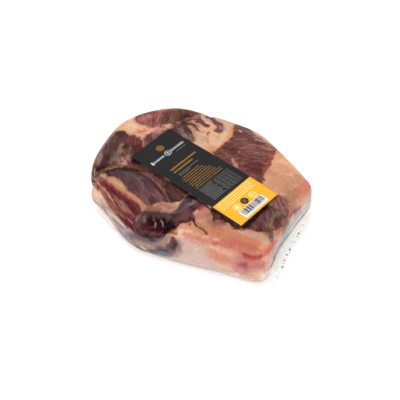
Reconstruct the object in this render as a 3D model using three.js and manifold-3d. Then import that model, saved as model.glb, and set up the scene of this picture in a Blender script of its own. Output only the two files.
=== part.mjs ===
// A boneless cured shoulder ham in a clear vacuum bag, with a paper label on top.
// Millimetres, +Z up, +X along the ham towards the sealed end of the bag, +Y away from the straight
// near side. The origin is on the underside, at the middle of the bounding box.
import * as THREE from 'three';
import { mergeVertices } from 'three/addons/utils/BufferGeometryUtils.js';
import Module from 'manifold-3d';

const wasm = await Module();
wasm.setup();

// Height of the top face at its highest, and how much lower it lies at the ends and the near side
const CROWN = 52;
const HALF_LENGTH = 115;
const HALF_WIDTH = 95;
const END_FALL = 4.5;
const NEAR_FALL = 3;
const NEAR_SHOULDER_FALL = 6;
const NEAR_SHOULDER = [-58, -94];

// The widest line round the ham, seen from above, counterclockwise from the near right corner:
// x, y, how far the top edge rounds inwards, how square that rounding is (2 is an ellipse),
// the height of the widest line, and how far the foot tucks in
const OUTLINE = [
  [101, -88, 18, 3.2, 20, 12],
  [105, -51, 15, 3.4, 22, 12],
  [107.5, -15, 15, 3.2, 22, 12],
  [114.5, 20.5, 18, 2.8, 22, 14],
  [106, 35, 26, 2.4, 23, 16],
  [80.5, 55, 28, 2.3, 24, 16],
  [42, 80.5, 32, 2.2, 25, 16],
  [7, 89, 34, 2.1, 25, 16],
  [-25, 91.5, 36, 2.0, 26, 16],
  [-60, 90, 36, 2.0, 26, 16],
  [-90, 73, 36, 2.0, 25, 18],
  [-111.5, 46.5, 36, 2.0, 24, 20],
  [-116.5, 13, 36, 2.0, 22, 22],
  [-113.5, -21.5, 36, 2.0, 20, 24],
  [-97.5, -50.5, 36, 2.0, 19, 26],
  [-71, -72.5, 36, 2.1, 19, 24],
  [-36, -93.5, 30, 2.4, 18, 14],
  [5, -95.5, 26, 2.8, 18, 10],
  [53, -92.5, 24, 3.0, 19, 10],
];
const FOOT_SQUARENESS = 2.5;

// Furrows and hollows between the muscles: the line each follows from above, its half width, its depth
const FURROWS = [
  { name: 'fold across the left end', width: 5, depth: 5.5,
    line: [[-101, -41], [-96, -42], [-88, -41], [-78, -37], [-68, -32], [-56, -30], [-44, -31],
      [-30, -37], [-18, -46], [-8, -55]] },
  { name: 'fold on the far side', width: 4.5, depth: 3.5,
    line: [[-48, 40], [-43, 47], [-37, 55], [-30, 60], [-25, 68], [-22, 82]] },
  { name: 'hollow on the near side', width: 8, depth: 7,
    line: [[-30, -82], [-18, -81], [-8, -83], [2, -80]] },
  { name: 'slit in the fat', width: 3.2, depth: 2.2, line: [[23, -69], [28, -75], [38, -80]] },
  { name: 'pocket by the right end', width: 3.5, depth: 3, line: [[99, -33], [98, -42], [96, -52]] },
  { name: 'groove in the far right fat', width: 5, depth: 1.4, line: [[66, 2], [67, 14], [68, 28]] },
];

// Swellings of single muscles: centre, half lengths, turn in degrees, height
const SWELLINGS = [
  { at: [-46, -50], half: [32, 13], turn: -28, height: 2.4 },
  { at: [-62, -62], half: [30, 7], turn: -32, height: 1.0 },
  { at: [-94, -6], half: [18, 26], turn: 0, height: 1.8 },
  { at: [-66, 58], half: [30, 17], turn: 28, height: 2.2 },
  { at: [-12, 62], half: [16, 12], turn: -30, height: 1.2 },
  { at: [36, 42], half: [24, 30], turn: 0, height: 1.4 },
  { at: [64, -78], half: [38, 9], turn: 0, height: 0.8 },
  { at: [92, 16], half: [14, 24], turn: 8, height: 0.8 },
];

// Grid of the ham's mesh
const ANGLES = 120;
const TOP_RINGS = 30;
const WALL_RINGS = 7;
const BASE_RINGS = 3;
const RING_CROWDING = 1.6;

// The seal at the right end: a flat welded band with a toothed edge that hangs down the end face
const SEAL_THICKNESS = 0.8;
const SEAL_ROOT_HEIGHT = 25;
const SEAL_SPAN = [-85, 33];
const SEAL_REACH = 8.5;
const SEAL_DROP = 14;
const SEAL_TOOTH = 0.9;
const SEAL_TEETH = 30;
const SEAL_WAVE = 0.8;

// The folded edge of the bag round the near left side
const FOLD_THICKNESS = 0.8;
const FOLD_ROOT_HEIGHT = 22;
const FOLD_SPAN = [-84, -20];
const FOLD_REACH = 3;
const FOLD_DROP = 10;
const FOLD_STEPS = 28;
const FILM_ROOT = 4;

// The label: a paper strip laid askew along the top
const LABEL_LENGTH = 146.5;
const LABEL_WIDTH = 57;
const LABEL_THICKNESS = 0.4;
const LABEL_CENTRE = [10, -14.3];
const LABEL_TURN = -19.3;
const LABEL_HEIGHT = 52.5;
const LABEL_END_DIP = 1.0;
const LABEL_STEPS = [20, 8];

const lerp = (a, b, t) => a + (b - a) * t;

function smooth(from, to, value) {
  const t = Math.min(Math.max((value - from) / (to - from), 0), 1);
  return t * t * (3 - 2 * t);
}

// A closed smooth curve through rows of numbers, sampled at even steps along its x, y length
function closedCurve(rows, count) {
  const dense = [];
  const perSpan = 24;
  for (let i = 0; i < rows.length; i += 1) {
    const [a, b, c, d] = [-1, 0, 1, 2].map((k) => rows[(i + k + rows.length) % rows.length]);
    for (let k = 0; k < perSpan; k += 1) {
      const t = k / perSpan;
      dense.push(b.map((_, j) => 0.5 * (2 * b[j] + (c[j] - a[j]) * t
        + (2 * a[j] - 5 * b[j] + 4 * c[j] - d[j]) * t * t
        + (3 * b[j] - a[j] - 3 * c[j] + d[j]) * t * t * t)));
    }
  }
  dense.push(dense[0]);
  const along = [0];
  for (let i = 1; i < dense.length; i += 1) {
    along.push(along[i - 1] + Math.hypot(dense[i][0] - dense[i - 1][0], dense[i][1] - dense[i - 1][1]));
  }
  const samples = [];
  let at = 0;
  for (let i = 0; i < count; i += 1) {
    const wanted = (i / count) * along[along.length - 1];
    while (along[at + 1] < wanted) at += 1;
    const t = (wanted - along[at]) / (along[at + 1] - along[at]);
    samples.push(dense[at].map((value, j) => lerp(value, dense[at + 1][j], t)));
  }
  return samples;
}

// The widest line as points with their outward direction and the edge's measures there
function rim(count) {
  const samples = closedCurve(OUTLINE, count);
  return samples.map(([x, y, round, square, equator, foot], i) => {
    const before = samples[(i + count - 1) % count];
    const after = samples[(i + 1) % count];
    const length = Math.hypot(after[0] - before[0], after[1] - before[1]);
    const out = [(after[1] - before[1]) / length, -(after[0] - before[0]) / length];
    return { x, y, out, round, square, equator, foot, depth: x * out[0] + y * out[1] };
  });
}

function topHeight(x, y) {
  const near = Math.min(y, 0) / HALF_WIDTH;
  return CROWN - END_FALL * (x / HALF_LENGTH) ** 2 - NEAR_FALL * near ** 2
    - NEAR_SHOULDER_FALL * smooth(...NEAR_SHOULDER, y);
}

function distanceToLine(x, y, line) {
  let nearest = Infinity;
  for (let i = 1; i < line.length; i += 1) {
    const [ax, ay] = line[i - 1];
    const [bx, by] = line[i];
    const span = (bx - ax) ** 2 + (by - ay) ** 2;
    const t = Math.min(Math.max(((x - ax) * (bx - ax) + (y - ay) * (by - ay)) / span, 0), 1);
    nearest = Math.min(nearest, Math.hypot(x - lerp(ax, bx, t), y - lerp(ay, by, t)));
  }
  return nearest;
}

// How far the surface stands proud of the plain form, or lies below it, over a point seen from above
function relief(x, y) {
  let rise = 0;
  for (const { width, depth, line } of FURROWS) {
    rise -= depth * Math.exp(-((distanceToLine(x, y, line) / width) ** 2));
  }
  for (const { at, half, turn, height } of SWELLINGS) {
    const angle = THREE.MathUtils.degToRad(turn);
    const dx = x - at[0];
    const dy = y - at[1];
    const u = (dx * Math.cos(angle) + dy * Math.sin(angle)) / half[0];
    const v = (dy * Math.cos(angle) - dx * Math.sin(angle)) / half[1];
    rise += height * Math.exp(-(u * u + v * v));
  }
  return rise;
}

// A point of the ham's skin over a rim point: the share of the way out from the middle for the top,
// or the angle down from the widest line for the wall
function topPoint(edge, share) {
  const inset = (1 - share) * edge.depth;
  const x = edge.x * share;
  const y = edge.y * share;
  const near = Math.min(Math.max(1 - inset / edge.round, 0), 1);
  const crown = topHeight(x, y);
  const z = lerp(edge.equator, crown, (1 - near ** edge.square) ** (1 / edge.square));
  return displaced(edge, x, y, z, near ** 3);
}

function wallPoint(edge, angle) {
  const power = 2 / FOOT_SQUARENESS;
  const inset = edge.foot * (1 - Math.cos(angle) ** power);
  const share = 1 - inset / edge.depth;
  const z = edge.equator * (1 - Math.sin(angle) ** power);
  return displaced(edge, edge.x * share, edge.y * share, z, 1);
}

function displaced(edge, x, y, z, sideways) {
  const rise = relief(x, y) * smooth(0, 12, z);
  return [
    x + edge.out[0] * rise * sideways,
    y + edge.out[1] * rise * sideways,
    z + rise * (1 - sideways),
  ];
}

function geometry(points, triangles) {
  const made = new THREE.BufferGeometry();
  made.setAttribute('position', new THREE.Float32BufferAttribute(points.flat(), 3));
  made.setIndex(triangles);
  return made;
}

// The ham in its tight film: rings of points from the middle of the top, over the edge, to the base
function hamGeometry() {
  const edges = rim(ANGLES);
  const rings = [];
  for (let k = 1; k <= TOP_RINGS; k += 1) {
    const share = 1 - (1 - k / TOP_RINGS) ** RING_CROWDING;
    rings.push(edges.map((edge) => topPoint(edge, share)));
  }
  for (let k = 1; k <= WALL_RINGS; k += 1) {
    const angle = (k / WALL_RINGS) * (Math.PI / 2);
    rings.push(edges.map((edge) => wallPoint(edge, angle)));
  }
  const foot = rings[rings.length - 1];
  for (let k = 1; k < BASE_RINGS; k += 1) {
    rings.push(foot.map(([x, y]) => [x * (1 - k / BASE_RINGS), y * (1 - k / BASE_RINGS), 0]));
  }
  const points = [topPoint(edges[0], 0), ...rings.flat(), [0, 0, 0]];
  const triangles = [];
  const id = (ring, i) => 1 + ring * ANGLES + (i % ANGLES);
  const apart = (a, b) => Math.hypot(...points[a].map((value, j) => value - points[b][j]));
  // A quad is split along its shorter diagonal, so that a furrow across the grid stays smooth
  const quad = (a, b, c, d) => {
    if (apart(a, c) < apart(b, d)) triangles.push(a, b, c, a, c, d);
    else triangles.push(a, b, d, b, c, d);
  };
  for (let i = 0; i < ANGLES; i += 1) {
    triangles.push(0, id(0, i), id(0, i + 1));
    for (let ring = 1; ring < rings.length; ring += 1) {
      quad(id(ring - 1, i), id(ring, i), id(ring, i + 1), id(ring - 1, i + 1));
    }
    triangles.push(id(rings.length - 1, i), points.length - 1, id(rings.length - 1, i + 1));
  }
  return geometry(points, triangles);
}

// A thin closed sheet: upper(u, v) and lower(u, v) give its two faces for u and v from 0 to 1.
// u crossed with v points up.
function sheetGeometry([across, along], upper, lower) {
  const points = [];
  for (const face of [upper, lower]) {
    for (let i = 0; i <= across; i += 1) {
      for (let j = 0; j <= along; j += 1) points.push(face(i / across, j / along));
    }
  }
  const id = (side, i, j) => side * (across + 1) * (along + 1) + i * (along + 1) + j;
  const triangles = [];
  const quad = (a, b, c, d) => triangles.push(a, b, c, a, c, d);
  for (let i = 0; i < across; i += 1) {
    for (let j = 0; j < along; j += 1) {
      quad(id(0, i, j), id(0, i + 1, j), id(0, i + 1, j + 1), id(0, i, j + 1));
      quad(id(1, i, j), id(1, i, j + 1), id(1, i + 1, j + 1), id(1, i + 1, j));
    }
    quad(id(1, i, 0), id(1, i + 1, 0), id(0, i + 1, 0), id(0, i, 0));
    quad(id(0, i, along), id(0, i + 1, along), id(1, i + 1, along), id(1, i, along));
  }
  for (let j = 0; j < along; j += 1) {
    quad(id(0, 0, j), id(0, 0, j + 1), id(1, 0, j + 1), id(1, 0, j));
    quad(id(0, across, j), id(1, across, j), id(1, across, j + 1), id(0, across, j + 1));
  }
  return geometry(points, triangles);
}

// The run of rim points inside a span of y, on the right or the left side of the ham
function rimRun(side, [low, high]) {
  const run = rim(720).filter(({ x, y }) => x * side > 50 && y > low && y < high);
  const isBreak = (edge, i) => i > 0 && Math.hypot(edge.x - run[i - 1].x, edge.y - run[i - 1].y) > 5;
  const start = Math.max(run.findIndex(isBreak), 0);
  return [...run.slice(start), ...run.slice(0, start)];
}

function alongRun(run, share) {
  const place = share * (run.length - 1);
  const from = run[Math.floor(place)];
  const to = run[Math.min(Math.floor(place) + 1, run.length - 1)];
  const t = place - Math.floor(place);
  return { x: lerp(from.x, to.x, t), y: lerp(from.y, to.y, t), out: from.out };
}

// A band of film that leaves the wall at a height and droops outwards
function filmBand(run, { steps, thickness, height, reach, drop, edgeShape }) {
  const face = (offset) => (u, v) => {
    const edge = alongRun(run, v);
    const outwards = lerp(-FILM_ROOT, reach(v), u) + (u === 1 ? edgeShape(v) : 0);
    const down = drop(v) * Math.max(u, 0) ** 1.5;
    return [edge.x + edge.out[0] * outwards, edge.y + edge.out[1] * outwards, height - down + offset];
  };
  return sheetGeometry([4, steps], face(thickness / 2), face(-thickness / 2));
}

function sealGeometry() {
  const run = rimRun(1, SEAL_SPAN);
  const fade = (v) => 1 - 0.9 * smooth(0.55, 1, v);
  const steps = 2 * SEAL_TEETH;
  return filmBand(run, {
    steps,
    thickness: SEAL_THICKNESS,
    height: SEAL_ROOT_HEIGHT,
    reach: (v) => SEAL_REACH * fade(v),
    edgeShape: (v) => (Math.round(v * steps) % 2) * SEAL_TOOTH,
    drop: (v) => SEAL_DROP * (1 - 0.35 * v) + SEAL_WAVE * Math.sin(v * 17),
  });
}

function foldGeometry() {
  return filmBand(rimRun(-1, FOLD_SPAN), {
    steps: FOLD_STEPS,
    thickness: FOLD_THICKNESS,
    height: FOLD_ROOT_HEIGHT,
    reach: (v) => FOLD_REACH * Math.sin(Math.PI * lerp(0.12, 0.9, v)) ** 0.7,
    edgeShape: () => 0,
    drop: () => FOLD_DROP,
  });
}

// The label follows the top a little above it; its ends dip
function labelGeometry() {
  const angle = THREE.MathUtils.degToRad(LABEL_TURN);
  const face = (offset) => (u, v) => {
    const along = (u - 0.5) * LABEL_LENGTH;
    const across = (v - 0.5) * LABEL_WIDTH;
    return [
      LABEL_CENTRE[0] + along * Math.cos(angle) - across * Math.sin(angle),
      LABEL_CENTRE[1] + along * Math.sin(angle) + across * Math.cos(angle),
      LABEL_HEIGHT - LABEL_END_DIP * (2 * u - 1) ** 2 + offset,
    ];
  };
  return sheetGeometry(LABEL_STEPS, face(LABEL_THICKNESS), face(0));
}

function toSolid(source) {
  const merged = mergeVertices(source);
  return new wasm.Manifold(new wasm.Mesh({
    numProp: 3,
    vertProperties: new Float32Array(merged.attributes.position.array),
    triVerts: new Uint32Array(merged.index.array),
  }));
}

function fromSolid(solid) {
  const mesh = solid.getMesh();
  const made = new THREE.BufferGeometry();
  made.setAttribute('position', new THREE.BufferAttribute(mesh.vertProperties, 3));
  made.setIndex(new THREE.BufferAttribute(mesh.triVerts, 1));
  return made;
}

function piece(name, shape, material) {
  const mesh = new THREE.Mesh(shape, material);
  mesh.name = name;
  return mesh;
}

const tightHam = toSolid(hamGeometry());
const bagGeometry = fromSolid(tightHam.add(toSolid(sealGeometry())).add(toSolid(foldGeometry())));
const meatUnderFilm = new THREE.MeshStandardMaterial({ color: 0x9c6a5c, roughness: 0.25, metalness: 0 });
const printedPaper = new THREE.MeshStandardMaterial({ color: 0x303030, roughness: 0.5, metalness: 0 });

const ham = new THREE.Group();
ham.add(piece('vacuum_bag', bagGeometry, meatUnderFilm));
ham.add(piece('label', labelGeometry(), printedPaper));

// The origin goes to the middle of the whole, on the surface it lies on
const extent = new THREE.Box3().setFromObject(ham);
const middle = extent.getCenter(new THREE.Vector3());
for (const mesh of ham.children) mesh.position.set(-middle.x, -middle.y, -extent.min.z);

export default ham;
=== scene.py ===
"""Looks of a boneless shoulder ham in a tight vacuum bag with a paper label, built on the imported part.

Lengths are in millimetres until a mesh is made. Places on the meat are flat millimetres: the direction
of a point seen from above, and its distance from the middle measured along the surface.
"""
import math
import random

import bpy
import numpy as np
from mathutils import Matrix

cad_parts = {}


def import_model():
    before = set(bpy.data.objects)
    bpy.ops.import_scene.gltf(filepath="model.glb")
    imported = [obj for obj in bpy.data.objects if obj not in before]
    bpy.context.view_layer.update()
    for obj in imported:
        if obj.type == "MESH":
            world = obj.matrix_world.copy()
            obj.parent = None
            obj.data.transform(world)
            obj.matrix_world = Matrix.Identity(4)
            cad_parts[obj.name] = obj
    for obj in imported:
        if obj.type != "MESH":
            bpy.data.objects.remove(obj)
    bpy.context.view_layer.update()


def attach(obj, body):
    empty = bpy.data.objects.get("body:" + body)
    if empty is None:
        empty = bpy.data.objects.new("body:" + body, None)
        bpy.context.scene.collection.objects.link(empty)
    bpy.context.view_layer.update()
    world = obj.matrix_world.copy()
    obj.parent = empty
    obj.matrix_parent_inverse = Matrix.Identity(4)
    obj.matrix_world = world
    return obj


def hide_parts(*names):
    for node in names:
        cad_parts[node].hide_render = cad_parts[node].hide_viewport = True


MM = 0.001
# The kind of an attribute, and the name of its data, by how many numbers each corner has
ATTRIBUTES = {1: ("FLOAT", "value"), 3: ("FLOAT_VECTOR", "vector"), 4: ("FLOAT_COLOR", "color")}


def table(text):
    """The rows of a table as lists of numbers. A comma only ties together what belongs together."""
    return [[float(word) for word in row.replace(",", " ").split()] for row in text.strip().splitlines()]


def pairs(numbers):
    return list(zip(numbers[::2], numbers[1::2]))


# The form of the ham, as in the part's source
CROWN = 52.0
HALF_LENGTH = 115.0
HALF_WIDTH = 95.0
END_FALL = 4.5
NEAR_FALL = 3.0
NEAR_SHOULDER_FALL = 6.0
NEAR_SHOULDER = (-58.0, -94.0)
FORM_SHIFT = (-0.56, 1.82, 0.0)
FOOT_SQUARENESS = 2.5
RELIEF_FADE = 12.0
LOWEST = 0.02
RIM_DETAIL = 24
# x,y, top edge radius, its squareness, height of the widest line, foot radius
OUTLINE = table("""
101,-88 18 3.2 20 12
105,-51 15 3.4 22 12
107.5,-15 15 3.2 22 12
114.5,20.5 18 2.8 22 14
106,35 26 2.4 23 16
80.5,55 28 2.3 24 16
42,80.5 32 2.2 25 16
7,89 34 2.1 25 16
-25,91.5 36 2 26 16
-60,90 36 2 26 16
-90,73 36 2 25 18
-111.5,46.5 36 2 24 20
-116.5,13 36 2 22 22
-113.5,-21.5 36 2 20 24
-97.5,-50.5 36 2 19 26
-71,-72.5 36 2.1 19 24
-36,-93.5 30 2.4 18 14
5,-95.5 26 2.8 18 10
53,-92.5 24 3 19 10
""")
# Width, depth, line seen from above
FURROWS = table("""
5 5.5 -101,-41 -96,-42 -88,-41 -78,-37 -68,-32 -56,-30 -44,-31 -30,-37 -18,-46 -8,-55
4.5 3.5 -48,40 -43,47 -37,55 -30,60 -25,68 -22,82
8 7 -30,-82 -18,-81 -8,-83 2,-80
3.2 2.2 23,-69 28,-75 38,-80
3.5 3 99,-33 98,-42 96,-52
5 1.4 66,2 67,14 68,28
""")
# Middle, half sizes, turn in degrees, height. The last row, a soft bulge of fat at the left end of the
# first furrow, is here alone.
SWELLINGS = table("""
-46,-50 32,13 -28 2.4
-62,-62 30,7 -32 1
-94,-6 18,26 0 1.8
-66,58 30,17 28 2.2
-12,62 16,12 -30 1.2
36,42 24,30 0 1.4
64,-78 38,9 0 0.8
92,16 14,24 8 0.8
-98,-55 11,9 -50 3.4
""")

# The meat grid and the film grid: angles, rings over the top, the wall and the base, ring crowding
MEAT_GRID = (648, 98, 44, 5, 1.25)
FILM_GRID = (420, 62, 30, 3, 1.3)
MEAT_INSET = 0.15
FILM_INSET = -0.25
MEAT_FURROW_DEPTH = 1.25
FILM_FURROW_DEPTH = 0.8

# Lean meat: colour, fibre direction in degrees, marbling, ragged edge in mm, outline
# The near-black shape 37,8,10 round the hollow near -36,-88 to 22,-73 is dark meat with painted shade of
# the hollow.
LEANS = table("""
84,50,51 -62 0.2 1.5 -106,22 -100,22 -95,20.5 -90,18 -86,15 -78,15.5 -72,15 -69,12 -66,6 -63.5,2 -60,-4 \
-57,-12 -66,-15 -71,-17 -72,-22 -74,-27 -80,-31.5 -88,-35 -98,-37.5 -108,-39 -115,-39.5 -115,-32 \
-114,-24 -111,-14 -109,-4 -108,6 -108,15
134,80,75 -72 0.3 1.2 -94,46 -91,41 -88,38 -84,34.5 -80,33.5 -76,34 -72,32.5 -68,32 -64,35 -60,38 -57,42 \
-53,46 -48,51 -43,56 -38,61 -33,66 -31,74 -32,86 -44,94 -62,92 -80,80 -91,64 -95,54
130,90,88 -68 0.5 1.2 -66,24 -70,18 -68,12 -65,4 -62,0 -54,2 -45,20 -46,36 -51,40 -54,34 -58,33 -62,33 \
-64,29
84,58,59 -42 0.25 0.9 -52,34 -49.4,41.4 -45.4,48 -42,53.4 -36,58 -32,59 -28,56.5 -24,52 -20,47.6 \
-17,45.6 -20,45 -24,47.5 -28,50.5 -32,52 -33,49 -29,45 -25,41 -22,37 -19,33 -18,28 -30,26 -44,28
118,76,80 -42 0.1 0.6 -28,70 -26,70.5 -23,68 -20,63 -16,59 -12,57.5 -11,55 -14,53.5 -20,55 -25,57.5 \
-29,61 -30,65
118,75,81 -45 0.1 0.6 -24,92 -20,84 -15,78 -11,72 -7,69 -3,68 1,64.5 4,59 5,54 3,51 0,50 -4,51 -4,54 \
-3,57 -5,60 -9,62 -12,65 -16,69 -20,74 -24,80 -28,88
112,68,65 24 0.55 0.9 8,18 9,25 11,31 12,36 14,40 15,44 16.5,50 15,57 13.5,62 12,68 11,76 12,86 17,95 \
23,92 26,82 29,74 37,65.5 49,61 58,59.5 64,58 65.5,54 66,48 66.5,40 67,33 67,27 66.5,21 66,15 66,10 68,5 \
67,-2 58,-6 40,-2 20,8
144,92,87 -40 0.5 1.6 70,-6 84,-10 90,-9.5 96,-11 101,-12.5 105,-18 107.5,-24 108,-28 103,-31 96,-30 \
88,-29 78,-24
96,57,57 -56 0.25 1 35,-50 35,-57 37,-61 39,-64 42,-68 45,-65 51,-66 56,-65 61,-67 65,-69 70,-67 \
77,-64.5 86,-63.5 91,-61.5 95,-60.5 98,-57 101.5,-52 105,-46 109,-42 112,-35 109,-29 100,-26 88,-26 \
76,-20 50,-22
84,58,62 -36 0.2 0.8 -91,-38.4 -88,-36.8 -85,-35 -81,-33.6 -77,-32 -70,-30 -62,-28 -52,-28 -44,-30.5 \
-36,-34 -28,-40 -20,-47 -13,-54 -8,-60 -12,-62.5 -15,-64 -19,-67 -24,-71.5 -30,-71 -36,-68 -44,-64.5 \
-52,-61.5 -57,-57 -62,-53 -68,-50.4 -76,-47.4 -82,-44.4 -88,-41
100,47,48 -36 0.15 0.8 -102,-41 -91,-45.5 -81,-51.4 -75,-54.6 -67,-58 -57,-62.6 -48,-66.6 -40,-69.8 \
-33,-74 -30,-80 -32,-90 -36,-100 -44,-97 -54,-90.5 -64,-84 -72,-77.5 -79,-70 -87,-62.5 -98,-55 -110,-49 \
-124,-47 -130,-42 -118,-41 -108,-41
37,8,10 60 0 0.5 -36,-88 -34,-81 -31,-76 -24,-73 -14,-73 -5,-72 0,-70 10,-69 20,-69 22,-73 19,-77 \
11,-79.5 9,-84 5,-89 2,-94 -1,-99 -9,-101 -20,-103 -29,-102 -35,-97
90,70,75 64 0.2 0.9 -5,-72 0,-69 3,-64 4,-57 4,-50 8,-44 20,-40 30,-46 27,-54 25,-60 21,-61 20,-66 \
23,-69 12,-71 2,-72
84,52,50 -38 0.15 1.2 -72,-16 -64,-15 -50,-18 -38,-22 -18,-34 0,-30 10,-36 6,-42 4,-50 2,-56 -3,-58 \
-8,-56 -14,-50 -20,-44 -28,-37 -38,-31 -48,-27.5 -58,-26 -66,-26.5 -72,-24
118,68,68 8 0.5 1.8 -44,112 -28,107 -8,105 14,106 36,101 54,90 66,82 74,84 66,96 48,107 26,114 2,117 \
-22,120 -40,119
104,62,64 -30 0.4 1.6 -98,92 -86,98 -74,106 -68,114 -78,116 -92,108 -104,98 -112,86 -108,82
112,70,72 80 0.3 1.4 -128,34 -131,18 -133,0 -132,-16 -137,-18 -142,-2 -141,20 -134,38
124,76,74 60 0.4 1.6 120,40 112,54 102,68 92,80 98,86 110,76 120,62 128,46
""")

# Lines of fat across lean meat: colour, half width, line
FAT_LINES = table("""
206,166,150 1.1 -108,-46 -96,-51 -86,-57.5 -78,-63 -72,-69 -66,-75.5 -58,-82 -50,-87 -42,-90 -38,-93
168,128,116 0.7 -76,-62 -68,-66.5 -60,-71.5 -54,-75 -46,-79.5 -38,-83
160,118,106 0.6 -68,-69 -60,-75 -52,-80 -44,-83.5
188,140,126 0.8 -98,-53 -88,-61 -80,-68 -73,-76 -64,-81.5 -54,-87
196,156,110 1.2 -34,52 -31,49.5 -27,45 -22,41
182,158,130 1 28,20 31,16 35,12.5 39,8.5
190,168,136 1.2 31,17 33,12 36,9
196,178,140 2.4 20.5,61 22.5,63
148,108,102 0.7 -54,-28 -46,-28.4 -40,-29.2 -33,-32 -26,-37
""")

# Soft ovals of colour on lean meat and on fat: colour, middle, half sizes, turn in degrees, percent
# The near-black patches at -26.5,-90.5 and 0,-84 are dark meat with painted shade of the hollow.
# The near-black patches at -60,-21.5 and -30,-32 are painted shadow of the label over dark meat.
# The pale spot at -27,-82 in the hollow is a painted glint.
# The small pale spots at 42,56 and 31,29 are painted highlights.
LEAN_PATCHES = table("""
66,38,38 -96,15 13,5 -14 80
120,44,46 -101,13 4,2 -30 90
84,62,54 -100,2 7,9 20 80
98,68,68 -98,-12 8,7 0 80
60,32,34 -94,-25 9,5 -20 80
46,10,16 -99,-35 7,3.4 0 100
40,24,22 -89,-32 4,3 10 90
148,114,110 -107,-19 4.4,10 24 80
150,84,80 -111,-25 2,8 22 80
104,54,52 -78,8 11,4.5 -22 85
92,39,37 -68,-1 3.6,8 12 100
62,34,26 -82,-4 3,3 0 90
136,110,90 -85,-8 2.4,9 14 80
108,92,80 -86,-21 6,8 0 85
100,82,60 -76,-11 5,2.4 0 90
112,66,40 -77,-7.5 3,1.8 -20 100
134,120,108 -76,-3 1.2,2.4 30 60
148,106,92 -77,-27 3,5 10 80
150,110,104 -72,-19 5,4 0 60
30,8,12 -60,-21.5 8,2.4 -8 100
172,106,98 -82,47 10,7 25 90
130,42,48 -92,45 2.5,5 10 80
164,86,78 -70,58 8,9 0 80
180,132,127 -72,74 22,8 30 80
94,38,36 -42,72 6,11 0 85
48,16,16 -41,62 6,3 35 100
88,64,50 -54,58 9,15 -24 85
88,60,62 -60,46 3.4,5 0 80
166,124,74 -63,36.5 4,1.6 30 90
176,136,130 -60,29 5,4 0 90
84,54,60 -63,17 3.4,9 20 80
112,96,78 -40,48 6,2.2 38 70
140,114,96 -22,33 3.6,7 24 80
146,118,116 -34,36 9,2 -42 50
122,104,94 22,70 12,8 -24 85
146,118,114 44,61 18,4 -16 85
160,116,88 58,52 9,5 24 85
166,122,110 42,56 2,2 0 90
92,50,54 22,30 9,9 0 75
150,122,104 20,23 6,2 -30 60
178,138,130 31,29 1.2,1.2 0 70
84,38,40 54,16 11,8 0 80
160,84,76 65,30 4,16 0 80
112,84,62 48,36 14,3 -22 60
112,88,66 26,22 12,3 -32 60
140,46,50 12,36 1.8,8 -16 80
150,104,86 100,-14 9,3 -40 85
136,104,86 86,-25.5 6,1 -24 60
60,28,30 82,-30 5,6 0 70
74,40,40 52,-59 20,3 -10 80
102,80,74 89,-41 3.4,9 6 70
84,56,42 40,-64 4,4 0 60
122,84,80 104,-38 5,7 0 80
146,102,102 110,-35 5,9 0 90
84,55,50 99,-39 2.2,10 0 80
86,68,73 -68,-37 13,6 -16 80
104,82,78 -52,-44 16,3 -36 60
106,66,64 -34,-62 12,5 -34 80
130,92,88 -20,-58 8,5 -38 60
106,50,52 -66,-61 24,3 -33 85
88,40,44 -52,-69 14,2.4 -34 80
158,112,108 -102,-45.5 13,4 -20 90
150,110,104 -86,-59 6,2.4 -35 60
140,112,102 -52,-76.5 11,2.4 -30 85
72,34,40 -42,-92 8,3 -40 85
78,62,60 -8,-75 24,3 3 90
92,56,57 12,-73.5 11,4.5 4 90
112,86,82 -33.4,-87 2,8 -8 90
88,62,60 -29,-88 5.5,11 -6 90
120,98,92 -27,-82 1.8,2.4 0 80
56,24,28 -26.5,-90.5 1.4,2.6 0 90
92,24,30 -20,-91 7,2.8 6 90
70,20,28 -7,-92 5,3 10 80
88,62,66 -14,-98.8 20,3 2 90
30,14,14 0,-84 6,8 20 80
108,70,56 7,-87 2.4,4 -30 80
52,18,22 9,-48 7,4 20 95
116,98,96 15,-53 2,6 -30 80
82,38,42 17,-62 3.4,6 10 85
136,62,66 25,-55 4,6 20 95
78,52,40 0,-48 4,8 10 70
40,16,16 -30,-32 20,3 -28 60
118,82,68 -24,-39 6,2.2 -40 80
158,116,106 -70,-75 6,2 -42 85
150,116,112 2,60 3.4,6 -20 70
116,80,82 -34,-66 9,2.4 -34 70
126,93,82 95,-33 4,4 0 80
140,104,88 95,-51 4,4 0 80
""")
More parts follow.
